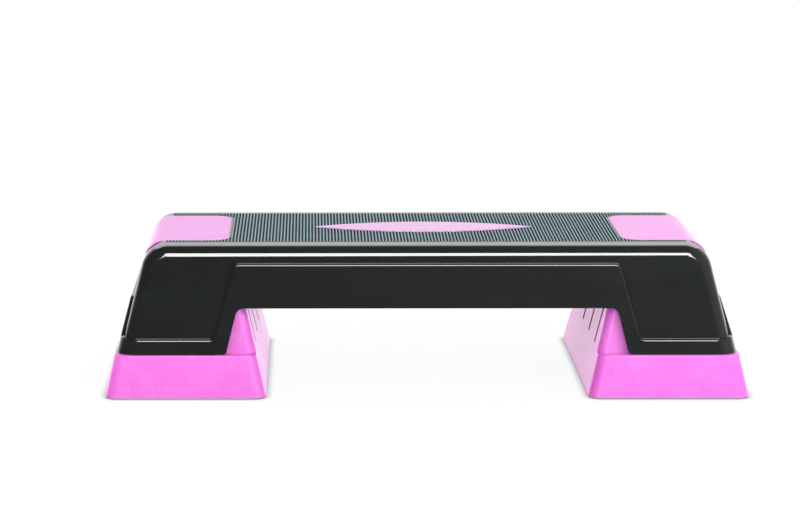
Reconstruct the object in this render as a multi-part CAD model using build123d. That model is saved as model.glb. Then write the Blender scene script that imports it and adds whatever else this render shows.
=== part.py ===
from build123d import *
import os

os.makedirs("parts", exist_ok=True)

# Aerobic step platform: a hollow moulded deck on two lift-off riser blocks.
# The origin is on the floor under the middle of the platform, +X runs along its length,
# +Y runs away from the long side that is seen first, and +Z is up. Sizes are in millimetres.

# Heights above the floor
foot_proud = 1.5          # rubber feet below the riser's lower edge
ledge_height = 48.6       # ledge of a riser, which carries the deck
strip_proud = 0.9         # rubber strips below the deck's rim
deck_height = 120.5       # rim to flat top

# Deck body, measured at its rim
body_length = 700.0
body_depth = 268.0
end_draft = 0.25          # slope of the end walls, sideways over up
side_draft = 0.218        # slope of the long walls
end_edge_radius = 24.0    # where the flat top rolls down to the ends
side_edge_radius = 16.0   # where it rolls down to the long walls, and the upright corners
deck_wall = 3.2
deck_top_wall = 6.4

# Stepped skirt round the deck: a low band, an apron over the arch and a panel on each end
skirt_step = 4.4
band_height = 16.5
apron_height = 100.5
apron_shoulder = 219.8    # half length of the apron's upper edge
apron_foot = 243.4        # half length where its slanting edge reaches the band
apron_corner_radius = 7.0
end_panel_height = 57.0
end_panel_shoulder = 82.0
end_panel_foot = 119.0

# Arch between the legs
arch_height = 51.0
arch_half_top = 216.4
arch_half_foot = 229.2
arch_corner_radius = 9.0
leg_corner_radius = 4.5
heel_radius = 2.5

# Ribs inside the deck, and the fins that drop into the risers' slots
rib_wall = 3.0
cross_rib_wall = 2.4
rib_pitch = 58.7
long_rib_count = 4
long_rib_height = 54.0    # lower edge of the long ribs above the rim
cross_rib_height = 82.0   # lower edge of the cross ribs above the rim
cross_rib_pitch = 82.0
fin_length = 52.0
fin_drop = 4.5            # gap between a fin's tip and the bottom of its slot
fin_setback = 2.0         # how far a fin stays behind the riser's inner face
slot_side_gap = 3.0
slot_bottom = 51.5        # height of the slots' lower ends above the floor

# Ribbed tread mat let into the top
mat_length = 597.6
mat_depth = 173.2
mat_corner_radius = 4.0
mat_pocket = 2.0
mat_web = 0.8
ridge_pitch = 3.79
ridge_proud = 0.4         # crests above the deck's flat top
inlay_gap = 0.3           # clearance round each inlay

# End pads, which run over the rounded ends and down the end walls
pad_inner_edge = 227.0
pad_side_strip = 6.9      # width of mat left beside a pad
pad_corner_radius = 20.0
pad_lower_height = 69.0   # lower edge of a pad above the rim
pad_pocket = 2.4
pad_sink = 0.4            # pad face below the frame round it
frame_width = 2.2         # lip left between an inlay and the mat

# Lens-shaped badge, with nothing on it
badge_length = 257.2
badge_depth = 60.0
badge_pocket = 2.0
badge_proud = 0.9
badge_edge = 0.7

# Rubber strips in the deck's rim
strip_width = 4.0
strip_groove = 2.6
leg_strip_length = 84.0
end_strip_length = 210.0

# Risers
riser_end_proud = 1.6         # ledge of a riser beyond the deck's rim, at the ends
riser_side_proud = 2.5        # and along the long sides
riser_end_draft = 0.225
riser_side_draft = 0.217
riser_reach_in = 46.1         # inner face at the floor, in from the arch's widest place
riser_inner_draft = 0.241
riser_corner_radius = 12.0
riser_box_corner_radius = 10.0
riser_box_height = 101.0
riser_gap = 1.2               # clearance between a riser's box and the deck's walls
riser_wall = 3.2
riser_edge = 1.2
riser_rib_wall = 2.6
riser_rib_rise = 8.0          # the rib across a riser stays this far above its lower edge
riser_rib_inset = 88.9        # and this far in from its outer end at the floor

# Plug-in rubber feet of the risers
foot_length = 32.0
foot_width = 18.0
foot_margin = 15.2            # from the riser's lower edge to a foot
foot_plug_length = 10.0
socket_wall = 3.0

overcut = 1.0                 # how far a cutting or joining shape runs past the face it meets

# Worked out from the sizes above
rim_height = ledge_height + strip_proud
top_height = rim_height + deck_height
band_top = rim_height + band_height
apron_top = rim_height + apron_height
end_panel_top = rim_height + end_panel_height
arch_top = rim_height + arch_height
long_rib_bottom = rim_height + long_rib_height
cross_rib_bottom = rim_height + cross_rib_height
pad_lower_edge = rim_height + pad_lower_height
slot_width = rib_wall + 2 * slot_side_gap
pad_depth = mat_depth - 2 * (pad_side_strip + frame_width)
rim_wall = skirt_step + deck_wall
riser_half_length = body_length / 2 + skirt_step + riser_end_proud + riser_end_draft * ledge_height
riser_half_depth = body_depth / 2 + skirt_step + riser_side_proud + riser_side_draft * ledge_height
riser_inner_foot = arch_half_foot - riser_reach_in
reach = 2 * body_length         # longer than anything it has to cut or cross


def draw(outline, corners=()):
    """Flat face from (u, v) points; corners pairs a radius with the numbers of the points it rounds."""
    face = make_face(Polyline(*outline, close=True))
    for radius, numbers in corners:
        picked = [face.vertices().sort_by_distance((*outline[n], 0))[0] for n in numbers]
        face = fillet(picked, radius)
    return face


def across_depth(face, thickness=reach):
    """Extrude a face drawn as (X, Z) to both sides of the long middle plane."""
    return extrude(Plane.XZ * face, amount=thickness / 2, both=True)


def across_length(face, thickness=reach):
    """Extrude a face drawn as (Y, Z) to both sides of the short middle plane."""
    return extrude(Plane.YZ * face, amount=thickness / 2, both=True)


def end_x(z, offset=0.0):
    """Half length of the deck's body at a height, moved out by an offset."""
    return body_length / 2 + offset - end_draft * (z - rim_height)


def side_y(z, offset=0.0):
    """Half depth of the deck's body at a height, moved out by an offset."""
    return body_depth / 2 + offset - side_draft * (z - rim_height)


def trapezium(half_at, low, high, radius=0.0):
    """Symmetrical drafted outline between two heights, with its upper corners rounded."""
    outline = [(-half_at(low), low), (half_at(low), low), (half_at(high), high), (-half_at(high), high)]
    corners = [(radius, (2, 3))] if radius > 0 else []
    return draw(outline, corners)


def deck_end_profile(offset, low, high):
    """Long view of the deck's body, with its rolled ends."""
    radius = end_edge_radius + offset
    return trapezium(lambda z: end_x(z, offset), low, high, radius)


def drafted_block(offset, low, high, rolled):
    """Deck-shaped block: rolled over at the top, or with rounded upright corners only."""
    if rolled:
        long_view = deck_end_profile(offset, low, high)
    else:
        long_view = trapezium(lambda z: end_x(z, offset), low, high)
    short_view = trapezium(lambda z: side_y(z, offset), low, high)
    block = across_depth(long_view) & across_length(short_view)

    def on_long_wall(edge):
        spot = edge.position_at(0.5)
        return abs(abs(spot.Y) - side_y(spot.Z, offset)) < 0.01 and low + 0.01 < spot.Z

    edges = block.edges().filter_by(on_long_wall)
    if not rolled:
        edges = edges.filter_by(lambda edge: edge.position_at(0.5).Z < high - 0.01)
    return fillet(edges, side_edge_radius + offset)


def skirt_outline(shoulder, foot, upper, radius):
    """Band with a raised panel on it, drawn beyond the ends of the wall that it lies on."""
    low = rim_height - overcut
    outline = [
        (-reach / 2, low), (reach / 2, low), (reach / 2, band_top), (foot, band_top),
        (shoulder, upper), (-shoulder, upper), (-foot, band_top), (-reach / 2, band_top),
    ]
    return draw(outline, [(radius, (3, 4, 5, 6))])


def deck_skirt():
    """Outer layer of the deck: the band, the two aprons and the two end panels."""
    layer = drafted_block(skirt_step, rim_height, top_height, rolled=False)
    aprons = across_depth(skirt_outline(apron_shoulder, apron_foot, apron_top, apron_corner_radius))
    panels = across_length(
        skirt_outline(end_panel_shoulder, end_panel_foot, end_panel_top, apron_corner_radius))
    return layer & (aprons + panels)


def long_view_cut():
    """What the deck may fill when seen from its long side: two legs and the beam between them."""
    heel = end_x(rim_height, skirt_step)
    head = end_x(top_height, skirt_step)
    outline = [
        (-heel, rim_height), (-arch_half_foot, rim_height), (-arch_half_top, arch_top),
        (arch_half_top, arch_top), (arch_half_foot, rim_height), (heel, rim_height),
        (head, top_height), (-head, top_height),
    ]
    corners = [(arch_corner_radius, (2, 3)), (leg_corner_radius, (1, 4)), (heel_radius, (0, 5))]
    return across_depth(draw(outline, corners))


def deck_hollow():
    """Space inside the deck, with the room behind the aprons where the arch lets the core out."""
    low = rim_height - overcut
    ceiling = top_height - deck_top_wall
    hollow = drafted_block(-deck_wall, low, ceiling, rolled=True)
    behind_apron = drafted_block(skirt_step - deck_wall, low, top_height, rolled=False)
    window = [
        (-arch_half_top, arch_top - overcut), (arch_half_top, arch_top - overcut),
        (apron_shoulder - deck_wall, apron_top - deck_wall),
        (-apron_shoulder + deck_wall, apron_top - deck_wall),
    ]
    return hollow + (behind_apron & across_depth(draw(window)))


def inner_x(z):
    """Inner face of a riser at a height, from the middle of the platform."""
    return riser_inner_foot + riser_inner_draft * z


def rib_rows(count, pitch):
    """Middle positions of a row of ribs, centred on the platform."""
    return [(n - (count - 1) / 2) * pitch for n in range(count)]


def fin_outline():
    """Fin in (X, Z) for the right-hand leg: its inner edge runs behind the riser's inner face."""
    tip = slot_bottom + fin_drop
    root = long_rib_bottom + overcut
    return [
        (inner_x(tip) + fin_setback, tip), (inner_x(tip) + fin_setback + fin_length, tip),
        (inner_x(root) + fin_setback + fin_length, root), (inner_x(root) + fin_setback, root),
    ]


def deck_ribs(hollow):
    """Grid of ribs under the top, and the fins below its long ribs."""
    grid = Part()
    tall = top_height - long_rib_bottom
    short = top_height - cross_rib_bottom
    for y in rib_rows(long_rib_count, rib_pitch):
        grid += Pos(0, y, long_rib_bottom + tall / 2) * Box(body_length, rib_wall, tall)
    cross_count = 2 * int((body_length / 2 - end_edge_radius) // cross_rib_pitch) - 1
    for x in rib_rows(cross_count, cross_rib_pitch):
        grid += Pos(x, 0, cross_rib_bottom + short / 2) * Box(cross_rib_wall, body_depth, short)
    ribs = grid & hollow
    fin = across_depth(draw(fin_outline()), rib_wall)
    for y in rib_rows(long_rib_count, rib_pitch):
        right_fin = Pos(0, y, 0) * fin
        ribs += right_fin
        ribs += mirror(right_fin, about=Plane.YZ)
    return ribs


def pad_plan(grow):
    """Plan of the right-hand pad as (X, Y), grown by a margin and open past the end."""
    inner = pad_inner_edge - grow
    half = pad_depth / 2 + grow
    outline = [(inner, -half), (reach / 2, -half), (reach / 2, half), (inner, half)]
    return draw(outline, [(pad_corner_radius + grow, (0, 3))])


def pad_layer(grow, upper, lower):
    """Curved layer of the right-hand pad between two depths below the body's surface."""
    low = pad_lower_edge - grow
    half = pad_depth / 2 + grow
    skin = deck_end_profile(-upper, rim_height, top_height - upper)
    core = deck_end_profile(-lower, rim_height - overcut, top_height - lower)
    layer = across_depth(skin - core)
    view = [(-half, low), (half, low), (half, reach), (-half, reach)]
    end_view = across_length(draw(view, [(pad_corner_radius + grow, (0, 1))]))
    plan = extrude(pad_plan(grow), amount=reach)
    return layer & end_view & plan


def lens(grow):
    """Pointed oval of the badge as (X, Y), grown by a margin."""
    tip = badge_length / 2 + grow
    belly = badge_depth / 2 + grow
    near = ThreePointArc((-tip, 0), (0, -belly), (tip, 0))
    far = ThreePointArc((tip, 0), (0, belly), (-tip, 0))
    return make_face(near + far)


def mat_plan(grow):
    """Plan of the tread mat: a rectangle with room for both pads and the badge."""
    plan = RectangleRounded(mat_length + 2 * grow, mat_depth + 2 * grow, mat_corner_radius + grow)
    island = pad_plan(frame_width - grow)
    plan -= island
    plan -= mirror(island, about=Plane.YZ)
    plan -= lens(frame_width - grow)
    return plan


def at_height(face, z, thickness):
    """Stand a plan face at a height and give it a thickness upwards."""
    return extrude(Pos(0, 0, z) * face, amount=thickness)


def strip_places():
    """Middle, turn and length of each rubber strip in the rim."""
    middle = rim_wall / 2
    front = side_y(rim_height, skirt_step) - middle
    end = end_x(rim_height, skirt_step) - middle
    leg_middle = (arch_half_foot + leg_corner_radius + end - side_edge_radius) / 2
    places = {}
    for side, sx in (("left", -1), ("right", 1)):
        places[f"{side}_front_strip"] = (sx * leg_middle, -front, 0, leg_strip_length)
        places[f"{side}_back_strip"] = (sx * leg_middle, front, 0, leg_strip_length)
        places[f"{side}_end_strip"] = (sx * end, 0, 90, end_strip_length)
    return places


def strip_plan(place):
    """Plan of a rubber strip where it lies in the rim."""
    x, y, turn, length = place
    return Pos(x, y) * Rot(0, 0, turn) * Rectangle(length, strip_width)


def deck_shell():
    """The moulded deck with its skirt, ribs, fins and the pockets for everything let into it."""
    body = drafted_block(0.0, rim_height, top_height, rolled=True)
    hollow = deck_hollow()
    deck = body + deck_skirt()
    deck &= long_view_cut()
    deck -= hollow
    deck += deck_ribs(hollow)
    right_pocket = pad_layer(inlay_gap, -overcut, pad_pocket)
    deck -= right_pocket
    deck -= mirror(right_pocket, about=Plane.YZ)
    deck -= at_height(mat_plan(inlay_gap), top_height - mat_pocket, mat_pocket + overcut)
    deck -= at_height(lens(inlay_gap), top_height - badge_pocket, badge_pocket + overcut)
    for place in strip_places().values():
        deck -= at_height(strip_plan(place), rim_height - overcut, strip_groove + overcut)
    return deck


def tread_mat():
    """Ribbed mat: a thin web under a row of sharp ridges that run from front to back."""
    floor = top_height - mat_pocket
    valley = floor + mat_web
    crest = top_height + ridge_proud
    count = int(mat_length // ridge_pitch)
    half = mat_length / 2
    first = -count * ridge_pitch / 2
    outline = [(-half, floor), (-half, valley), (first, valley)]
    for x in rib_rows(count, ridge_pitch):
        outline += [(x, crest), (x + ridge_pitch / 2, valley)]
    outline += [(half, valley), (half, floor)]
    comb = across_depth(draw(outline), mat_depth)
    return comb & at_height(mat_plan(0.0), floor, mat_pocket + ridge_proud + overcut)


def centre_badge():
    """Bare lens-shaped badge with a softened upper edge."""
    badge = at_height(lens(0.0), top_height - badge_pocket, badge_pocket + badge_proud)
    upper = badge.edges().group_by(Axis.Z)[-1]
    return chamfer(upper, badge_edge)


def riser_block(inner_at, outer_at, side_at, low, high, corner_radius):
    """Drafted block of the right-hand riser between two heights, with rounded upright corners."""
    outline = [
        (inner_at(low), low), (outer_at(low), low), (outer_at(high), high), (inner_at(high), high)]
    block = across_depth(draw(outline)) & across_length(trapezium(side_at, low, high))
    uprights = block.edges().filter_by(lambda edge: low < edge.position_at(0.5).Z - 0.01 < high - 0.02)
    return fillet(uprights, corner_radius)


def riser_skirt(offset, low, high):
    """Lower, flared block of the right-hand riser, moved out by an offset."""
    return riser_block(
        lambda z: inner_x(z) - offset,
        lambda z: riser_half_length + offset - riser_end_draft * z,
        lambda z: riser_half_depth + offset - riser_side_draft * z,
        low, high, riser_corner_radius + offset)


def riser_box(offset, low, high):
    """Upper box of the right-hand riser, which goes up inside the deck's leg."""
    inside = offset - deck_wall - riser_gap
    return riser_block(
        lambda z: inner_x(z) - offset, lambda z: end_x(z, inside), lambda z: side_y(z, inside),
        low, high, riser_box_corner_radius + offset)


def riser_foot_places():
    """Middles of the four feet under the right-hand riser."""
    near = riser_inner_foot + foot_margin + foot_length / 2
    far = riser_half_length - foot_margin - foot_length / 2
    side = riser_half_depth - foot_margin - foot_width / 2
    return {
        "inner_front": (near, -side), "inner_back": (near, side),
        "outer_front": (far, -side), "outer_back": (far, side),
    }


def plug_size():
    """Length and width of a foot's plug, and of the socket that it fills."""
    return foot_length - 2 * socket_wall, foot_width - 2 * socket_wall


def right_riser():
    """Open-bottomed riser: flared skirt, ledge, box with four slots, and hollow posts for the feet."""
    low = foot_proud
    skirt = riser_skirt(0.0, low, ledge_height)
    skirt = chamfer(skirt.edges().group_by(Axis.Z)[-1], riser_edge)
    box = riser_box(0.0, ledge_height - riser_wall, riser_box_height)
    box = chamfer(box.edges().group_by(Axis.Z)[-1], riser_edge)
    hollow = riser_skirt(-riser_wall, low - overcut, ledge_height - riser_wall)
    core_low = ledge_height - riser_wall - overcut
    hollow += riser_box(-riser_wall, core_low, riser_box_height - riser_wall)
    riser = skirt + box - hollow

    rib_low = low + riser_rib_rise
    rib_tall = riser_box_height - rib_low
    rib_x = riser_half_length - riser_rib_inset
    rib = Pos(rib_x, 0, rib_low + rib_tall / 2) * Box(riser_rib_wall, 2 * riser_half_depth, rib_tall)
    riser += rib & hollow

    post_tall = ledge_height - riser_edge - low
    socket_tall = post_tall - riser_wall
    for x, y in riser_foot_places().values():
        riser += Pos(x, y, low + post_tall / 2) * Box(foot_length, foot_width, post_tall)
        riser -= Pos(x, y, low + socket_tall / 2) * Box(*plug_size(), socket_tall)

    slot_end = inner_x(long_rib_bottom) + fin_setback + fin_length + slot_side_gap
    slot_start = riser_inner_foot - slot_width
    slot_tall = riser_box_height + overcut - slot_bottom
    for y in rib_rows(long_rib_count, rib_pitch):
        middle = ((slot_start + slot_end) / 2, y, slot_bottom + slot_tall / 2)
        riser -= Pos(*middle) * Box(slot_end - slot_start, slot_width, slot_tall)
    return riser


def riser_foot(x, y):
    """Rubber foot: a pad under the post and a plug up inside it."""
    pad = Pos(x, y, foot_proud / 2) * Box(foot_length, foot_width, foot_proud)
    plug = Pos(x, y, foot_proud + foot_plug_length / 2) * Box(*plug_size(), foot_plug_length)
    return pad + plug


def save(name, solid):
    """Write one sub-part under its own name."""
    solid.label = name
    export_step(solid, f"parts/{name}.step")


def build():
    save("deck_shell", deck_shell())
    save("tread_mat", tread_mat())
    save("centre_badge", centre_badge())
    pad = pad_layer(0.0, pad_sink, pad_pocket)
    riser = right_riser()
    save("right_end_pad", pad)
    save("left_end_pad", mirror(pad, about=Plane.YZ))
    save("right_riser", riser)
    save("left_riser", mirror(riser, about=Plane.YZ))
    for name, place in strip_places().items():
        strip = at_height(strip_plan(place), rim_height - strip_proud, strip_proud + strip_groove)
        save(name, strip)
    for spot, (x, y) in riser_foot_places().items():
        save(f"right_{spot}_foot", riser_foot(x, y))
        save(f"left_{spot}_foot", riser_foot(-x, y))


build()
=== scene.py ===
# %% [markdown]
# # A two-level aerobic step
# The object is a black moulded deck with a ribbed tread, standing on two pink riser blocks.
# The CAD model gives every size. Here each visible piece gets its fine detail and its finish.

# %% Load the CAD model
import math

import bmesh
import bpy
from mathutils import Matrix, Vector


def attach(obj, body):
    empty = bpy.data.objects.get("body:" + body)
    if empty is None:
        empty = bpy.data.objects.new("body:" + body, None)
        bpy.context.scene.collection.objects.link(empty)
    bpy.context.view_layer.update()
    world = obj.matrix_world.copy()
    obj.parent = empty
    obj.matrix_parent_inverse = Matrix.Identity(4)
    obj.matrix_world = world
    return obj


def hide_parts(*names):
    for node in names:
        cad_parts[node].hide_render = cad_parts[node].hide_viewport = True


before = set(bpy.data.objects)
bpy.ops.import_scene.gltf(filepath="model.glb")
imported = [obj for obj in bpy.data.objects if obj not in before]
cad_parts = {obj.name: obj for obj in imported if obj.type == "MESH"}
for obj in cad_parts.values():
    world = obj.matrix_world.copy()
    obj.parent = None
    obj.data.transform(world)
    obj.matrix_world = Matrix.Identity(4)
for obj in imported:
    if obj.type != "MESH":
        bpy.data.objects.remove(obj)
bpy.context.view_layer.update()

# %% [markdown]
# ## Sizes
# The pieces below repeat these sizes from the CAD model. They are in millimetres, because that
# is how a moulding is drawn, and one function turns them to Blender's metres.

# %% Sizes of the step in millimetres
MM = 0.001
RIM, TOP = 49.5, 170.0            # lower rim and flat top of the deck above the floor


# %% [markdown]
# ## Camera
# The photograph was taken from low in front, a little to the left of the middle, with a long
# lens. The picture was cut out off-centre, so the lens is shifted sideways, not turned.

# %% Camera at the photograph's place
camera_data = bpy.data.cameras.new("photo_camera")
camera_data.sensor_width = 36.0
camera_data.lens = 109.23
camera_data.shift_x = 0.1129
camera_data.clip_end = 60.0
camera = bpy.data.objects.new("photo_camera", camera_data)
bpy.context.scene.collection.objects.link(camera)
tilt = Matrix.Rotation(math.radians(90 - 11.727), 4, "X")
roll = Matrix.Rotation(-0.001, 4, "Z")
camera.matrix_world = Matrix.Translation((-0.1337, -2.8179, 0.7189)) @ tilt @ roll
bpy.context.scene.camera = camera
print("camera height:", round(camera.location.z, 3), "m, lens:", round(camera_data.lens, 1), "mm")


# %% [markdown]
# ## Node helpers
# A colour picker shows sRGB values, and Cycles works with linear ones, so one function turns
# one into the other. The second adds any node with its settings and links.

# %% Colour and node helpers
def srgb(hex_value):
    """Linear colour from an sRGB hex value such as 0xfb81f3."""
    parts = [(hex_value >> shift & 0xFF) / 255 for shift in (16, 8, 0)]
    return tuple(c / 12.92 if c <= 0.04045 else ((c + 0.055) / 1.055) ** 2.4 for c in parts) + (1.0,)


def add(tree, kind, inputs=None, **settings):
    """Add a node, apply its settings, then fill or link its inputs."""
    node = tree.nodes.new(kind)
    for name, value in settings.items():
        setattr(node, name, value)
    for name, value in (inputs or {}).items():
        if isinstance(value, bpy.types.NodeSocket):
            tree.links.new(value, node.inputs[name])
        else:
            node.inputs[name].default_value = value
    return node


def new_material(name):
    """Empty node material and its tree, with the output node in it."""
    material = bpy.data.materials.new(name)
    material.use_nodes = True
    material.node_tree.nodes.clear()
    return material, material.node_tree


print("pink front of a riser in linear values:", [round(c, 3) for c in srgb(0xFB81F3)[:3]])

bpy.context.scene.view_settings.view_transform = "Standard"

# %% [markdown]
# ## Studio
# The step was photographed on a white sweep. Glossy black plastic shows nothing but its
# surroundings, so what it mirrors matters as much as what lights it. A gloss ray therefore sees
# a white sweep behind the step, a pale wall on its right and a dark room in front, and the soft
# light that falls on the colours is kept even and plain.

# %% World
SWEEP_FROM, SWEEP_GLOSS, DARK_GLOSS, RIGHT_GLOSS = 0.3, 1.0, 0.16, 0.5
FILL, RIGHT_FILL, BACK_FILL = 0.46, 0.3, 1.0
FLOOR_GLOSS = 0.9
RIGHT_WATTS, LEFT_WATTS, FRONT_L, TOP_L = 27.0, 13.0, 21.0, 3.0
def side(tree, direction, low, high):
    """1 where a ray's direction component is past high, 0 where it is before low."""
    return add(tree, "ShaderNodeMapRange", {"Value": direction, "From Min": low, "From Max": high},
               interpolation_type="SMOOTHSTEP").outputs[0]


world = bpy.data.worlds.new("white_studio")
world.use_nodes = True
bpy.context.scene.world = world
tree = world.node_tree
tree.nodes.clear()
way = add(tree, "ShaderNodeSeparateXYZ", {0: add(tree, "ShaderNodeTexCoord").outputs["Generated"]})
behind = side(tree, way.outputs["Y"], SWEEP_FROM, SWEEP_FROM + 0.2)
right = side(tree, way.outputs["X"], -0.2, 0.9)
mirror = add(tree, "ShaderNodeMath", {0: behind, 1: SWEEP_GLOSS, 2: DARK_GLOSS}, operation="MULTIPLY_ADD")
mirror = add(tree, "ShaderNodeMath", {0: right, 1: RIGHT_GLOSS, 2: mirror.outputs[0]}, operation="MULTIPLY_ADD")
soft = add(tree, "ShaderNodeMath", {0: right, 1: RIGHT_FILL, 2: FILL}, operation="MULTIPLY_ADD")
soft = add(tree, "ShaderNodeMath", {0: behind, 1: BACK_FILL, 2: soft.outputs[0]}, operation="MULTIPLY_ADD")
path = add(tree, "ShaderNodeLightPath")
level = add(tree, "ShaderNodeMix", {"Factor": path.outputs["Is Glossy Ray"], "A": soft.outputs[0],
                                    "B": mirror.outputs[0]})
seen = add(tree, "ShaderNodeMath", {0: path.outputs["Is Camera Ray"], 1: path.outputs["Is Transmission Ray"]},
           operation="MAXIMUM")
level = add(tree, "ShaderNodeMix", {"Factor": seen.outputs[0], "A": level.outputs[0], "B": 1.0})
glow = add(tree, "ShaderNodeBackground", {"Color": (1, 1, 1, 1), "Strength": level.outputs[0]})
add(tree, "ShaderNodeOutputWorld", {"Surface": glow.outputs[0]})

# %% [markdown]
# The floor is white paper. It glows for the camera, so that the picture's ground is white, but
# ambient occlusion takes that glow away close to the step, which leaves the thin dark line that
# grounds it.

# %% Floor
bm = bmesh.new()
bmesh.ops.create_circle(bm, cap_ends=True, segments=96, radius=14.0)
floor_mesh = bpy.data.meshes.new("studio_floor")
bm.to_mesh(floor_mesh)
bm.free()
floor = bpy.data.objects.new("studio_floor", floor_mesh)
bpy.context.scene.collection.objects.link(floor)
sweep, tree = new_material("white_paper_sweep")
path = add(tree, "ShaderNodeLightPath")
seen = add(tree, "ShaderNodeMath", {0: path.outputs["Is Camera Ray"], 1: path.outputs["Is Glossy Ray"]},
           operation="MAXIMUM")
near = add(tree, "ShaderNodeAmbientOcclusion", {"Distance": 0.009}, samples=8)
near = add(tree, "ShaderNodeMath", {0: near.outputs["AO"], 1: 1.3}, operation="POWER")
share = add(tree, "ShaderNodeMath", {0: seen.outputs[0], 1: 0.9}, operation="MULTIPLY")
light = add(tree, "ShaderNodeMath", {0: path.outputs["Is Glossy Ray"], 1: FLOOR_GLOSS, 2: 1.04},
            operation="MULTIPLY_ADD")
light = add(tree, "ShaderNodeMath", {0: near.outputs[0], 1: light.outputs[0]}, operation="MULTIPLY")
paper = add(tree, "ShaderNodeBsdfDiffuse", {"Color": (0.86, 0.86, 0.86, 1)})
glow = add(tree, "ShaderNodeEmission", {"Color": (1, 1, 1, 1), "Strength": light.outputs[0]})
mixed = add(tree, "ShaderNodeMixShader", {0: share.outputs[0], 1: paper.outputs[0], 2: glow.outputs[0]})
add(tree, "ShaderNodeOutputMaterial", {"Surface": mixed.outputs[0]})
floor_mesh.materials.append(sweep)

# %% [markdown]
# Three lamps: a soft one for the colours, and two panels that only reflections see. The front
# panel draws the bright line along every rounded edge, and the top panel draws the lip.

# %% Lamps
def lamp(name, width, height, power, place, aim):
    """Rectangular area lamp at a place, turned towards a point."""
    data = bpy.data.lights.new(name, "AREA")
    data.shape = "RECTANGLE"
    data.size, data.size_y, data.energy = width, height, power
    made = bpy.data.objects.new(name, data)
    bpy.context.scene.collection.objects.link(made)
    made.location = place
    made.rotation_euler = (Vector(aim) - Vector(place)).to_track_quat("-Z", "Y").to_euler()
    print(f"{name}: radiance {power / (math.pi * width * height):.1f}")
    return made


def on_arc(elevation, distance, x=0.0):
    """Place over the step's front edge at an angle above the floor in front of it."""
    angle = math.radians(elevation)
    return (x, -0.11 - distance * math.cos(angle), 0.155 + distance * math.sin(angle))


for name, watts, x in (("right_softbox", RIGHT_WATTS, 1.65), ("left_softbox", LEFT_WATTS, -1.65)):
    box_lamp = lamp(name, 1.4, 1.2, watts, (x, -1.35, 0.95), (0, 0, 0.1))
    box_lamp.visible_glossy = False
front_panel = lamp("front_reflection_panel", 1.7, 1.16, FRONT_L * math.pi * 1.7 * 1.16, on_arc(34, 2.5, 0.18),
                   (0.18, -0.11, 0.155))
top_panel = lamp("top_reflection_panel", 3.6, 1.75, TOP_L * math.pi * 3.6 * 1.75, on_arc(130, 2.4, 0.1),
                 (0.1, -0.11, 0.155))
for panel in (front_panel, top_panel):
    panel.visible_diffuse = panel.visible_camera = panel.visible_transmission = False

# %% [markdown]
# ## Modelling helpers
# Every piece starts in a bmesh in millimetres. A closed outline is drawn from its corners, each
# corner is rounded with a vertex bevel, and the face is extruded into a prism. Prisms are then
# added and cut with Boolean modifiers, which is how the steel of the real mould was cut too.

# %% Outlines, prisms and rounded edges
def outline_face(bm, points, corners=()):
    """Face from (x, y, z) points; corners pairs a radius with the numbers of the points it rounds."""
    verts = [bm.verts.new(point) for point in points]
    face = bm.faces.new(verts)
    for radius, numbers in corners:
        for number in numbers:
            corner = verts[number]
            arms = [edge.other_vert(corner).co - corner.co for edge in corner.link_edges]
            reach = radius / math.tan(arms[0].angle(arms[1]) / 2)
            bmesh.ops.bevel(bm, geom=[corner], offset=reach, offset_type="OFFSET", segments=7,
                            profile=0.5, affect="VERTICES", material=-1)
    return bm.faces[:]


def prism(points, along, corners=()):
    """Closed prism: an outline, extruded by the vector along."""
    bm = bmesh.new()
    faces = outline_face(bm, points, corners)
    grown = bmesh.ops.extrude_face_region(bm, geom=faces)
    moved = [item for item in grown["geom"] if isinstance(item, bmesh.types.BMVert)]
    bmesh.ops.translate(bm, verts=moved, vec=along)
    bmesh.ops.recalc_face_normals(bm, faces=bm.faces)
    return bm


def box(low, high):
    """Plain box between two corners, for ribs and slots."""
    bm = bmesh.new()
    bmesh.ops.create_cube(bm, size=1.0)
    size = Vector(high) - Vector(low)
    bmesh.ops.scale(bm, verts=bm.verts, vec=size)
    bmesh.ops.translate(bm, verts=bm.verts, vec=Vector(low) + size / 2)
    return bm


def drafted_block(low, high, x_at, y_at, x_low_at=None):
    """Block with sloping walls: x_at and y_at give its half sizes at a height."""
    bm = bmesh.new()
    bmesh.ops.create_cube(bm, size=2.0)
    for v in bm.verts:
        z = high if v.co.z > 0 else low
        x = x_at(z) if v.co.x > 0 else (x_low_at(z) if x_low_at else -x_at(z))
        v.co = (x, math.copysign(y_at(z), v.co.y), z)
    return bm


def round_edges(bm, wanted, radius, segments):
    """Round the edges for which wanted(edge) is true to a radius."""
    edges = [edge for edge in bm.edges if wanted(edge)]
    turn = sum(edge.calc_face_angle() for edge in edges) / len(edges)
    bmesh.ops.bevel(bm, geom=edges, offset=radius * math.tan(turn / 2), offset_type="OFFSET",
                    segments=segments, profile=0.5, affect="EDGES", clamp_overlap=True, material=-1)
    return len(edges)


def middle(edge):
    return (edge.verts[0].co + edge.verts[1].co) / 2


def upright(edge):
    """An edge that climbs more than it runs."""
    run = edge.verts[1].co - edge.verts[0].co
    return abs(run.z) > 0.7 * run.length


def as_object(bm, name):
    """Put a bmesh into a new object."""
    mesh = bpy.data.meshes.new(name)
    bm.to_mesh(mesh)
    bm.free()
    piece = bpy.data.objects.new(name, mesh)
    bpy.context.scene.collection.objects.link(piece)
    return piece


def combine(piece, steps):
    """Run (operation, bmesh) steps as exact Booleans and keep the result as the piece's mesh."""
    for operation, bm in steps:
        tool = as_object(bm, "tool")
        cut = piece.modifiers.new("step", "BOOLEAN")
        cut.operation, cut.solver, cut.object = operation, "EXACT", tool
        graph = bpy.context.evaluated_depsgraph_get()
        mesh = bpy.data.meshes.new_from_object(piece.evaluated_get(graph))
        piece.modifiers.clear()
        piece.data = mesh
        bpy.data.objects.remove(tool)
    return piece


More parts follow.
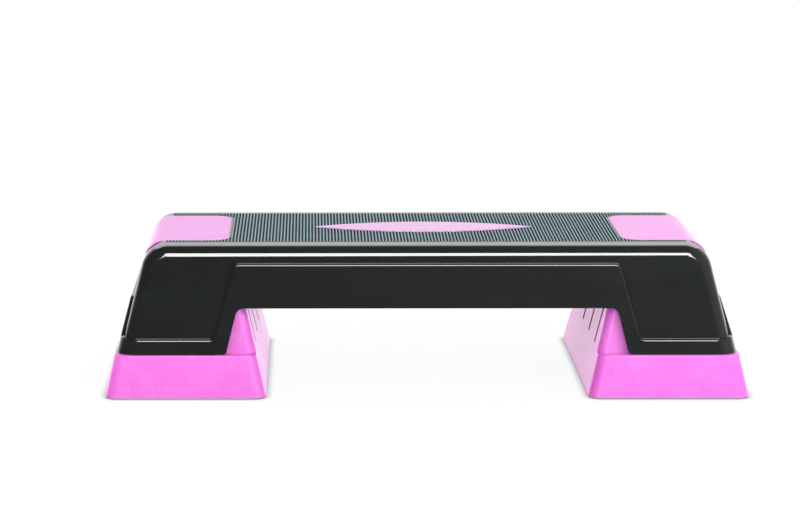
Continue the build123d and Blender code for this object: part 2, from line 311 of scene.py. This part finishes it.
def mirrored(source, name):
    """Copy of a piece on the other end of the step, with its faces turned the right way out."""
    bm = bmesh.new()
    bm.from_mesh(source.data)
    bmesh.ops.scale(bm, verts=bm.verts, vec=(-1, 1, 1))
    bmesh.ops.reverse_faces(bm, faces=bm.faces)
    return as_object(bm, name)


def settle(piece, body, nodes, material, sharp=32):
    """Scale a piece to metres, shade it, give it its finish and let it ride on its body."""
    bm = bmesh.new()
    bm.from_mesh(piece.data)
    bmesh.ops.remove_doubles(bm, verts=bm.verts, dist=0.002)
    bmesh.ops.dissolve_degenerate(bm, edges=bm.edges, dist=0.001)
    bmesh.ops.scale(bm, verts=bm.verts, vec=(MM, MM, MM))
    for face in bm.faces:
        face.smooth = True
    for edge in bm.edges:
        edge.smooth = edge.is_manifold and edge.calc_face_angle() < math.radians(sharp)
    bm.to_mesh(piece.data)
    print(f"{piece.name}: {len(bm.faces)} faces, {sum(not e.is_manifold for e in bm.edges)} open edges")
    bm.free()
    weighted = piece.modifiers.new("weighted_normals", "WEIGHTED_NORMAL")
    weighted.keep_sharp = True
    piece.data.materials.clear()
    piece.data.materials.append(material)
    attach(piece, body)
    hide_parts(*nodes)
    return piece


# %% [markdown]
# ## Deck
# The deck is one hollow moulding. Its walls lean in so that it leaves the mould, its top rolls
# over with a large radius at the ends and a smaller one along the sides, and a second layer
# 4.4 mm thick stands on the walls as a skirt. Two drafted blocks make body and skirt.

# %% Sizes of the deck
END_DRAFT, SIDE_DRAFT = 0.25, 0.218
END_ROLL, SIDE_ROLL = 24.0, 16.0
SKIRT, WALL, TOP_WALL = 4.4, 3.2, 6.4
BAND_TOP, APRON_TOP, PANEL_TOP, ARCH_TOP = 66.0, 150.0, 106.5, 100.5
RIB_PITCH = 58.7


def end_x(z, out=0.0):
    return 350.0 + out - END_DRAFT * (z - RIM)


def side_y(z, out=0.0):
    return 134.0 + out - SIDE_DRAFT * (z - RIM)


def deck_block(out, low, high, rolled):
    """Body-shaped block, moved out by a distance."""
    bm = drafted_block(low, high, lambda z: end_x(z, out), lambda z: side_y(z, out))
    if rolled:
        round_edges(bm, lambda e: middle(e).z > high - 0.1 and abs(middle(e).y) < 0.1, END_ROLL + out, 12)
    else:
        round_edges(bm, upright, SIDE_ROLL + out, 10)
        return bm

    def on_long_wall(e):
        return middle(e).z > low + 0.1 and abs(abs(middle(e).y) - side_y(middle(e).z, out)) < 0.05
    round_edges(bm, on_long_wall, SIDE_ROLL + out, 10)
    return bm


def skirt_outline(shoulder, foot, upper, along):
    """Band with a raised panel on it; along is the axis that it is extruded in."""
    far, low = 600.0, RIM - 5
    flat = [(-far, low), (far, low), (far, BAND_TOP), (foot, BAND_TOP), (shoulder, upper),
            (-shoulder, upper), (-foot, BAND_TOP), (-far, BAND_TOP)]
    if along == "y":
        points = [(u, -far, z) for u, z in flat]
        return prism(points, (0, 2 * far, 0), [(7.0, (3, 4, 5, 6))])
    points = [(-far, u, z) for u, z in flat]
    return prism(points, (2 * far, 0, 0), [(7.0, (3, 4, 5, 6))])


def depth_under_skirt(co):
    """How far a point lies inside the skirt's outer face."""
    dx, dy = end_x(co.z, SKIRT) - abs(co.x), side_y(co.z, SKIRT) - abs(co.y)
    radius = SIDE_ROLL + SKIRT - 2
    if dx < radius and dy < radius:
        return radius - math.hypot(radius - dx, radius - dy)
    return min(dx, dy)


def round_where(piece, depth, radius, segments, tolerance=0.35, clamp=True):
    """Round the convex edges of a piece whose two ends lie at no depth."""
    bm = bmesh.new()
    bm.from_mesh(piece.data)
    bmesh.ops.remove_doubles(bm, verts=bm.verts, dist=0.005)
    bmesh.ops.dissolve_limit(bm, angle_limit=math.radians(0.3), verts=bm.verts, edges=bm.edges)
    edges = [e for e in bm.edges if e.is_manifold and e.is_convex and e.calc_face_angle() > 0.9
             and all(abs(depth(v.co)) < tolerance for v in e.verts)]
    bmesh.ops.bevel(bm, geom=edges, offset=radius, offset_type="OFFSET", segments=segments,
                    profile=0.5, affect="EDGES", clamp_overlap=clamp, material=-1)
    bm.to_mesh(piece.data)
    bm.free()
    print(piece.name, "edges rounded:", len(edges))


# %% Body, skirt and hollow
skirt = as_object(deck_block(SKIRT, RIM, TOP, rolled=False), "skirt")
panels = as_object(skirt_outline(219.8, 243.4, APRON_TOP, "y"), "panels")
combine(panels, [("UNION", skirt_outline(82.0, 119.0, PANEL_TOP, "x"))])
bm = bmesh.new()
bm.from_mesh(panels.data)
combine(skirt, [("INTERSECT", bm)])
bpy.data.objects.remove(panels)
print("skirt:", len(skirt.data.polygons), "faces")
round_where(skirt, lambda co: depth_under_skirt(co) if co.z > RIM + 8 else 9, 2.4, 5, clamp=False)


# %% [markdown]
# The inside is emptied with two more blocks: one for the legs and the beam, and one that makes
# room behind each apron. Ribs under the top are what keeps such a thin deck from sagging, and
# a fin hangs from each long rib into a slot of the riser below it.

# %% Solids that empty the deck, and the ribs left in it
def from_object(piece):
    """Turn a helper object back into a bmesh and remove it."""
    bm = bmesh.new()
    bm.from_mesh(piece.data)
    bpy.data.objects.remove(piece)
    return bm


def hollow(grow=0.0):
    """Space inside the deck's walls, or a little larger, so that ribs end inside the walls."""
    space = as_object(deck_block(grow - WALL, RIM - 1, TOP - TOP_WALL + grow, rolled=True), "hollow")
    window = [(-216.4, -600, ARCH_TOP - 1), (216.4, -600, ARCH_TOP - 1),
              (216.6, -600, APRON_TOP - WALL), (-216.6, -600, APRON_TOP - WALL)]
    behind = as_object(deck_block(SKIRT - WALL + grow, RIM - 1, TOP, rolled=False), "behind_apron")
    combine(behind, [("INTERSECT", prism(window, (0, 1200, 0)))])
    return combine(space, [("UNION", from_object(behind))])


def riser_face(z):
    """Inner face of a riser at a height."""
    return 183.1 + 0.241 * z


def ribs():
    """Grid of ribs, trimmed to the hollow, with the fins below the long ribs."""
    rows = [row * RIB_PITCH for row in (-1.5, -0.5, 0.5, 1.5)]
    grid = as_object(box((-350, rows[0] - 1.5, 103.5), (350, rows[0] + 1.5, TOP)), "ribs")
    steps = [("UNION", box((-350, y - 1.5, 103.5), (350, y + 1.5, TOP))) for y in rows[1:]]
    steps += [("UNION", box((82 * n - 1.2, -134, 131.5), (82 * n + 1.2, 134, TOP))) for n in range(-2, 3)]
    combine(grid, steps)
    combine(grid, [("INTERSECT", from_object(hollow(grow=1.0)))])
    fins = []
    for y in rows:
        for side in (-1, 1):
            low, high = riser_face(56.0) + 2, riser_face(104.5) + 2
            points = [(side * low, y - 1.5, 56.0), (side * (low + 52), y - 1.5, 56.0),
                      (side * (high + 52), y - 1.5, 104.5), (side * high, y - 1.5, 104.5)]
            fins.append(("UNION", prism(points, (0, 3, 0))))
    return combine(grid, fins)


# %% [markdown]
# The pads, the badge and the mat lie in pockets. Their outlines are worked out once and grown by
# a margin, so a pocket is the same outline with 0.3 mm of room.

# %% Outlines of the inlays
GAP, FRAME = 0.3, 2.2
ROLL_X = 350.0 - END_DRAFT * (TOP - RIM) - END_ROLL * math.tan(math.atan(1 / END_DRAFT) / 2)


def lens(tip, belly, low, high):
    """Pointed oval prism: one vertex is spun along each side, and the loop is filled."""
    radius = (tip * tip + belly * belly) / (2 * belly)
    swing = 2 * math.asin(tip / radius)
    bm = bmesh.new()
    for side in (1, -1):
        start = bm.verts.new((-tip * side, 0, low))
        bmesh.ops.spin(bm, geom=[start], cent=(0, side * (radius - belly), 0), axis=(0, 0, 1),
                       angle=swing, steps=40, use_merge=False, use_duplicate=False)
    bmesh.ops.remove_doubles(bm, verts=bm.verts, dist=0.01)
    face = bmesh.ops.contextual_create(bm, geom=bm.edges[:])["faces"]
    grown = bmesh.ops.extrude_face_region(bm, geom=face)
    moved = [item for item in grown["geom"] if isinstance(item, bmesh.types.BMVert)]
    bmesh.ops.translate(bm, verts=moved, vec=(0, 0, high - low))
    bmesh.ops.recalc_face_normals(bm, faces=bm.faces)
    return bm


def pad_plan(grow, low, high):
    """Prism over a right-hand pad, open past the end of the deck."""
    half, inner = 77.5 + grow, 227.0 - grow
    points = [(inner, -half, low), (400, -half, low), (400, half, low), (inner, half, low)]
    return prism(points, (0, 0, high - low), [(20.0 + grow, (0, 3))])


def pad_front(grow, low):
    """Prism along X over a right-hand pad, as it is seen from the end."""
    half = 77.5 + grow
    points = [(200, -half, low), (200, half, low), (200, half, 300), (200, -half, 300)]
    return prism(points, (200, 0, 0), [(20.0 + grow, (0, 1))])


def end_layer(outer, inner):
    """Curved layer between two depths below the body's rolled end."""
    def profile(depth, low):
        high, radius = TOP - depth, END_ROLL - depth
        points = [(150, -200, low), (end_x(low, -depth), -200, low), (end_x(high, -depth), -200, high),
                  (150, -200, high)]
        bm = bmesh.new()
        verts = [bm.verts.new(point) for point in points]
        face = bm.faces.new(verts)
        turn = math.pi / 2 - math.atan(END_DRAFT)
        bmesh.ops.bevel(bm, geom=[verts[2]], offset=radius * math.tan(turn / 2), offset_type="OFFSET",
                        segments=12, profile=0.5, affect="VERTICES", material=-1)
        grown = bmesh.ops.extrude_face_region(bm, geom=bm.faces[:])
        moved = [item for item in grown["geom"] if isinstance(item, bmesh.types.BMVert)]
        bmesh.ops.translate(bm, verts=moved, vec=(0, 400, 0))
        bmesh.ops.recalc_face_normals(bm, faces=bm.faces)
        return bm
    layer = as_object(profile(outer, RIM), "layer")
    return combine(layer, [("DIFFERENCE", profile(inner, RIM - 5))])


# %% Deck shell
steps = [("UNION", from_object(skirt))]
heel, head = end_x(RIM, SKIRT), end_x(TOP, SKIRT)
view = [(-heel, -600, RIM), (-229.2, -600, RIM), (-216.4, -600, ARCH_TOP), (216.4, -600, ARCH_TOP),
        (229.2, -600, RIM), (heel, -600, RIM), (head, -600, TOP), (-head, -600, TOP)]
steps.append(("INTERSECT", prism(view, (0, 1200, 0), [(9.0, (2, 3)), (4.5, (1, 4)), (2.5, (0, 5))])))
pocket = combine(end_layer(-1.0, 2.4), [("INTERSECT", pad_plan(GAP, 0, 300)),
                                        ("INTERSECT", pad_front(GAP, 118.5 - GAP))])
left_pocket = mirrored(pocket, "left_pocket")
steps.append(("DIFFERENCE", from_object(pocket)))
steps.append(("DIFFERENCE", from_object(left_pocket)))


def mat_plan(grow, low, high):
    """Plan of the mat: a rounded rectangle with room for the pads and the badge."""
    x, y = 298.8 + grow, 86.6 + grow
    points = [(-x, -y, low), (x, -y, low), (x, y, low), (-x, y, low)]
    plan = as_object(prism(points, (0, 0, high - low), [(4.0 + grow, (0, 1, 2, 3))]), "mat_plan")
    right = pad_plan(FRAME - grow, low - 5, high + 5)
    left = pad_plan(FRAME - grow, low - 5, high + 5)
    bmesh.ops.scale(left, verts=left.verts, vec=(-1, 1, 1))
    bmesh.ops.reverse_faces(left, faces=left.faces)
    badge_room = lens(128.6 + FRAME - grow, 30.0 + FRAME - grow, low - 5, high + 5)
    return combine(plan, [("DIFFERENCE", right), ("DIFFERENCE", left), ("DIFFERENCE", badge_room)])


steps.append(("DIFFERENCE", from_object(mat_plan(GAP, TOP - 2, TOP + 2))))
steps.append(("DIFFERENCE", lens(128.6 + GAP, 30.0 + GAP, TOP - 2, TOP + 2)))
steps.append(("DIFFERENCE", from_object(hollow())))
steps.append(("UNION", from_object(ribs())))
deck = as_object(deck_block(0.0, RIM, TOP, rolled=True), "deck")
combine(deck, steps)
print("deck:", len(deck.data.polygons), "faces")


# %% [markdown]
# A moulded edge is never sharp: the steel of the mould can't be cut to nothing. The ledges of the
# skirt, the arch and the lips of the pockets get a small radius, and that is what catches the
# softbox as a thin bright line.

# %% Rounded ledges and lips of the deck
def depth_under_roll(co, surface=0.0):
    """How far a point lies under the flat top, the rolled end or the end wall."""
    centre_z = TOP - END_ROLL
    x = abs(co.x) - ROLL_X
    if x < 0:
        return TOP - co.z - surface
    if math.atan2(co.z - centre_z, x) > math.atan(END_DRAFT):
        return END_ROLL - math.hypot(x, co.z - centre_z) - surface
    return (end_x(co.z) - abs(co.x)) / math.hypot(1, END_DRAFT) - surface


round_where(deck, lambda co: depth_under_skirt(co) if co.z < RIM + 1 else 9, 0.8, 3)
round_where(deck, lambda co: depth_under_roll(co) if co.z > 112 else 9, 0.5, 3, 0.25)

# %% [markdown]
# ## Tread mat
# The mat is one rubber moulding: a thin web with 157 ridges, 3.79 mm apart, that run from front
# to back. One ridge is drawn, copied along the mat, and its crests are rounded before the mat is
# cut to its plan.

# %% Tread mat
PITCH, VALLEY, CREST = 3.79, 168.8, 170.4
count = 157
bm = bmesh.new()
shape = []
for number in range(count):
    x = (number - (count - 1) / 2) * PITCH
    shape += [(x - 1.35, -90, VALLEY), (x - 0.8, -90, CREST), (x + 0.8, -90, CREST),
              (x + 1.35, -90, VALLEY)]
shape = [(-301, -90, 168.0), (-301, -90, VALLEY)] + shape
shape += [(301, -90, VALLEY), (301, -90, 168.0)]
comb = prism(shape, (0, 180, 0))
crests = [e for e in comb.edges if middle(e).z > CREST - 0.01 and abs(middle(e).y) < 0.1]
bmesh.ops.bevel(comb, geom=crests, offset=0.5, offset_type="OFFSET", segments=3, profile=0.5,
                affect="EDGES", material=-1)
mat = as_object(comb, "ribbed_mat")
combine(mat, [("INTERSECT", from_object(mat_plan(0.0, 167.5, 172.0)))])
print("mat:", len(mat.data.polygons), "faces")

# %% [markdown]
# ## Pads and badge
# The pads are flat sheets that roll over the ends with the deck. They are the same curved layer
# as their pockets, without the room round them.

# %% End pads
right_pad = combine(end_layer(0.4, 2.4), [("INTERSECT", pad_plan(0.0, 0, 300)),
                                          ("INTERSECT", pad_front(0.0, 118.5))])
right_pad.name = "right_pad"
round_where(right_pad, lambda co: depth_under_roll(co, 0.4), 0.4, 3, 0.12)
left_pad = mirrored(right_pad, "left_pad")

# %% Badge
badge = as_object(lens(128.6, 30.0, 168.0, 170.9), "bare_badge")
round_where(badge, lambda co: 170.9 - co.z, 0.7, 3)

# %% [markdown]
# ## Risers
# A riser is a box with an open underside. Its lower part flares out and carries the deck on a
# ledge, and its upper part stands inside the deck's leg, with four slots for the deck's fins.

# %% Right riser, and the left one as its mirror image
LEDGE, BOX_TOP, FOOT = 48.6, 101.0, 1.5


def riser_skirt(out, low, high):
    bm = drafted_block(low, high, lambda z: 366.94 + out - 0.225 * z, lambda z: 151.45 + out - 0.217 * z,
                       lambda z: riser_face(z) - out)
    round_edges(bm, upright, 12.0 + out, 8)
    return bm


def riser_box(out, low, high):
    inside = out - WALL - 1.2
    bm = drafted_block(low, high, lambda z: end_x(z, inside), lambda z: side_y(z, inside),
                       lambda z: riser_face(z) - out)
    round_edges(bm, upright, 10.0 + out, 8)
    return bm


def rounded_top(bm, high):
    """Round the upper rim of a block."""
    round_edges(bm, lambda e: middle(e).z > high - 0.01, 1.3, 3)
    return bm


feet = {("inner", "front"): (214.3, -127.25), ("inner", "back"): (214.3, 127.25),
        ("outer", "front"): (335.7, -127.25), ("outer", "back"): (335.7, 127.25)}
right_riser = as_object(rounded_top(riser_skirt(0.0, FOOT, LEDGE), LEDGE), "right_riser_block")
steps = [("UNION", rounded_top(riser_box(0.0, LEDGE - 3.0, BOX_TOP), BOX_TOP)),
         ("DIFFERENCE", riser_skirt(-WALL - 0.04, FOOT - 1, LEDGE - WALL)),
         ("DIFFERENCE", riser_box(-WALL, LEDGE - WALL - 1, BOX_TOP - WALL)),
         ("UNION", prism([(276.7, -126, 9.5), (276.7, 126, 9.5), (276.7, 126, 58), (276.7, 115, 59),
                          (276.7, 115, 99), (276.7, -115, 99), (276.7, -115, 59), (276.7, -126, 58)], (2.6, 0, 0)))]
for x, y in feet.values():
    steps.append(("UNION", box((x - 16, y - 9, FOOT), (x + 16, y + 9, LEDGE - 1.2))))
    steps.append(("DIFFERENCE", box((x - 13, y - 6, FOOT - 1), (x + 13, y + 6, 44.2))))
for row in (-1.5, -0.5, 0.5, 1.5):
    y = row * RIB_PITCH
    steps.append(("DIFFERENCE", box((174.0, y - 4.5, 51.5), (265.0, y + 4.5, 103.0))))
combine(right_riser, steps)
left_riser = mirrored(right_riser, "left_riser_block")
print("riser:", len(right_riser.data.polygons), "faces")


# %% [markdown]
# ## Finishes
# Every finish reads Object coordinates, which are metres here, so one helper turns a size in
# millimetres into a pattern's scale. Two others make the things that all the plastics share: a
# noise of a stated size, and a bump from it of a stated height.

# %% Patterns at real sizes
def grain(tree, size_mm, stretch=(1, 1, 1), detail=3.0, roughness=0.5):
    """Noise whose blobs are about size_mm across; stretch lengthens them along an axis."""
    at = add(tree, "ShaderNodeTexCoord").outputs["Object"]
    scale = tuple(1 / s for s in stretch)
    at = add(tree, "ShaderNodeMapping", {"Vector": at, "Scale": scale}).outputs[0]
    return add(tree, "ShaderNodeTexNoise", {"Vector": at, "Scale": 1 / (size_mm * MM), "Detail": detail,
                                            "Roughness": roughness}).outputs["Fac"]


def between(tree, value, low, high, start=0.3, stop=0.7):
    """Turn a pattern's usual range into a range of roughness or of strength."""
    return add(tree, "ShaderNodeMapRange", {"Value": value, "From Min": start, "From Max": stop,
                                            "To Min": low, "To Max": high}).outputs[0]


def tint(tree, factor, first, second):
    """Colour between two sRGB colours."""
    return add(tree, "ShaderNodeMix", {"Factor": factor, 6: srgb(first), 7: srgb(second)},
               data_type="RGBA").outputs[2]


def bump(tree, height, depth_mm, under=None):
    """Normal from a height pattern that is depth_mm deep."""
    inputs = {"Height": height, "Distance": depth_mm * MM, "Strength": 1.0}
    if under is not None:
        inputs["Normal"] = under
    return add(tree, "ShaderNodeBump", inputs).outputs[0]


def finish(tree, **inputs):
    """Principled shader with its inputs, joined to the output."""
    shader = add(tree, "ShaderNodeBsdfPrincipled", {name.replace("_", " "): v for name, v in inputs.items()})
    add(tree, "ShaderNodeOutputMaterial", {"Surface": shader.outputs[0]})


# %% Deck: black polypropylene from a polished mould
# A polished mould leaves a near mirror with the faint waviness of plastic that shrank as it
# cooled, and long pale flow marks where it ran from the gate.
deck_plastic, tree = new_material("black_polypropylene_from_a_polished_mould")
flow = grain(tree, 26, (5, 1, 1), 4.0)
finish(tree, Base_Color=tint(tree, between(tree, flow, 0, 1), 0x151918, 0x1C201F),
       Roughness=between(tree, grain(tree, 18, (3, 1, 1)), 0.06, 0.095), IOR=1.54,
       Normal=bump(tree, grain(tree, 9, detail=1.0), 0.004))

# %% Tread: ribbed thermoplastic rubber
# The mould's grooves are blasted, so the sides and valleys are matt, while the crests are rubbed
# smooth by the mould's lands and by shoes. Height picks one or the other. Height also paints the
# colour: pale teal on the crests is a painted highlight, and near-black in the valleys is painted shade.
tread, tree = new_material("ribbed_thermoplastic_rubber")
z = add(tree, "ShaderNodeSeparateXYZ", {0: add(tree, "ShaderNodeTexCoord").outputs["Object"]}).outputs["Z"]
crest = add(tree, "ShaderNodeMapRange", {"Value": z, "From Min": 169.9 * MM, "From Max": 170.3 * MM}).outputs[0]
# Painted highlight: the crest mask, made patchy by noise, lightens the base colour on the crests; the valleys stay
# near-black as painted shade.
highlight_patchiness = between(tree, grain(tree, 30, detail=4.0), 0.8, 1.1)
painted_crest_highlight = add(tree, "ShaderNodeMath", {0: crest, 1: highlight_patchiness}, operation="MULTIPLY", use_clamp=True).outputs[0]
finish(tree, Base_Color=tint(tree, painted_crest_highlight, 0x080D0F, 0x54838E), IOR=1.5, Specular_IOR_Level=0.3,
       Roughness=between(tree, crest, 1.0, 0.4, 0, 1),
       Normal=bump(tree, grain(tree, 1.5, detail=2.0), 0.05))

# %% Risers: pink polypropylene from a spark-eroded mould
# Spark erosion leaves pits 0.1 mm across. They are drawn 2 mm across here, because smaller ones
# wouldn't show. They break the shine up and make the pink look dry.
riser_pink, tree = new_material("pink_polypropylene_spark_textured")
pits = grain(tree, 2.0, detail=2.0)
cloud = grain(tree, 22, detail=3.0)
both = add(tree, "ShaderNodeMath", {0: pits, 1: cloud}, operation="ADD").outputs[0]
finish(tree, Base_Color=tint(tree, between(tree, both, 0, 1, 0.75, 1.25), 0xF068DE, 0xF678E6),
       Roughness=between(tree, pits, 0.27, 0.36), IOR=1.47,
       Normal=bump(tree, pits, 0.06))

# %% End pads: pink polypropylene with a fine satin
# The pads lie a little lower than the deck and are vapour-blasted, so they mirror the sweep as a
# soft pale sheen. The faint lines along them are where the plastic ran.
pad_pink, tree = new_material("pink_polypropylene_satin")
runs = grain(tree, 3.0, (14, 1, 1), 3.0)
finish(tree, Base_Color=tint(tree, between(tree, runs, 0, 1), 0xDE6AD2, 0xE576DA),
       Roughness=between(tree, runs, 0.2, 0.27), IOR=1.49,
       Normal=bump(tree, grain(tree, 1.8, detail=2.0), 0.012))

# %% Badge: pink polypropylene, polished
badge_pink, tree = new_material("pink_polypropylene_polished")
wave = grain(tree, 14, (4, 1, 1), 2.0)
finish(tree, Base_Color=tint(tree, between(tree, wave, 0, 1), 0xD788D2, 0xDE93D8),
       Roughness=between(tree, wave, 0.12, 0.18), IOR=1.49,
       Normal=bump(tree, grain(tree, 6, detail=1.0), 0.01))

# %% Feet and strips: black rubber
# Pressed rubber keeps the dull skin of its mould and a little grey bloom.
foot_rubber, tree = new_material("black_pressed_rubber")
bloom = grain(tree, 4.0, detail=4.0)
finish(tree, Base_Color=tint(tree, between(tree, bloom, 0, 1), 0x1A1A1C, 0x2B2B2D),
       Roughness=between(tree, bloom, 0.7, 0.9), IOR=1.52,
       Normal=bump(tree, grain(tree, 1.2, detail=2.0), 0.05))

print("materials:", sorted(m.name for m in bpy.data.materials))

# %% The CAD's own nodes get the same finishes
finishes = {"deck_shell": deck_plastic, "tread_mat": tread, "left_riser": riser_pink, "right_riser": riser_pink,
            "left_end_pad": pad_pink, "right_end_pad": pad_pink, "centre_badge": badge_pink}
for name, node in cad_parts.items():
    node.data.materials.clear()
    node.data.materials.append(finishes.get(name, foot_rubber))


# %% Settle all pieces
settle(deck, "deck", ["deck_shell"], deck_plastic)
settle(mat, "deck", ["tread_mat"], tread)
settle(right_pad, "deck", ["right_end_pad"], pad_pink)
settle(left_pad, "deck", ["left_end_pad"], pad_pink)
settle(badge, "deck", ["centre_badge"], badge_pink)
settle(right_riser, "right_riser", ["right_riser"], riser_pink)
settle(left_riser, "left_riser", ["left_riser"], riser_pink)
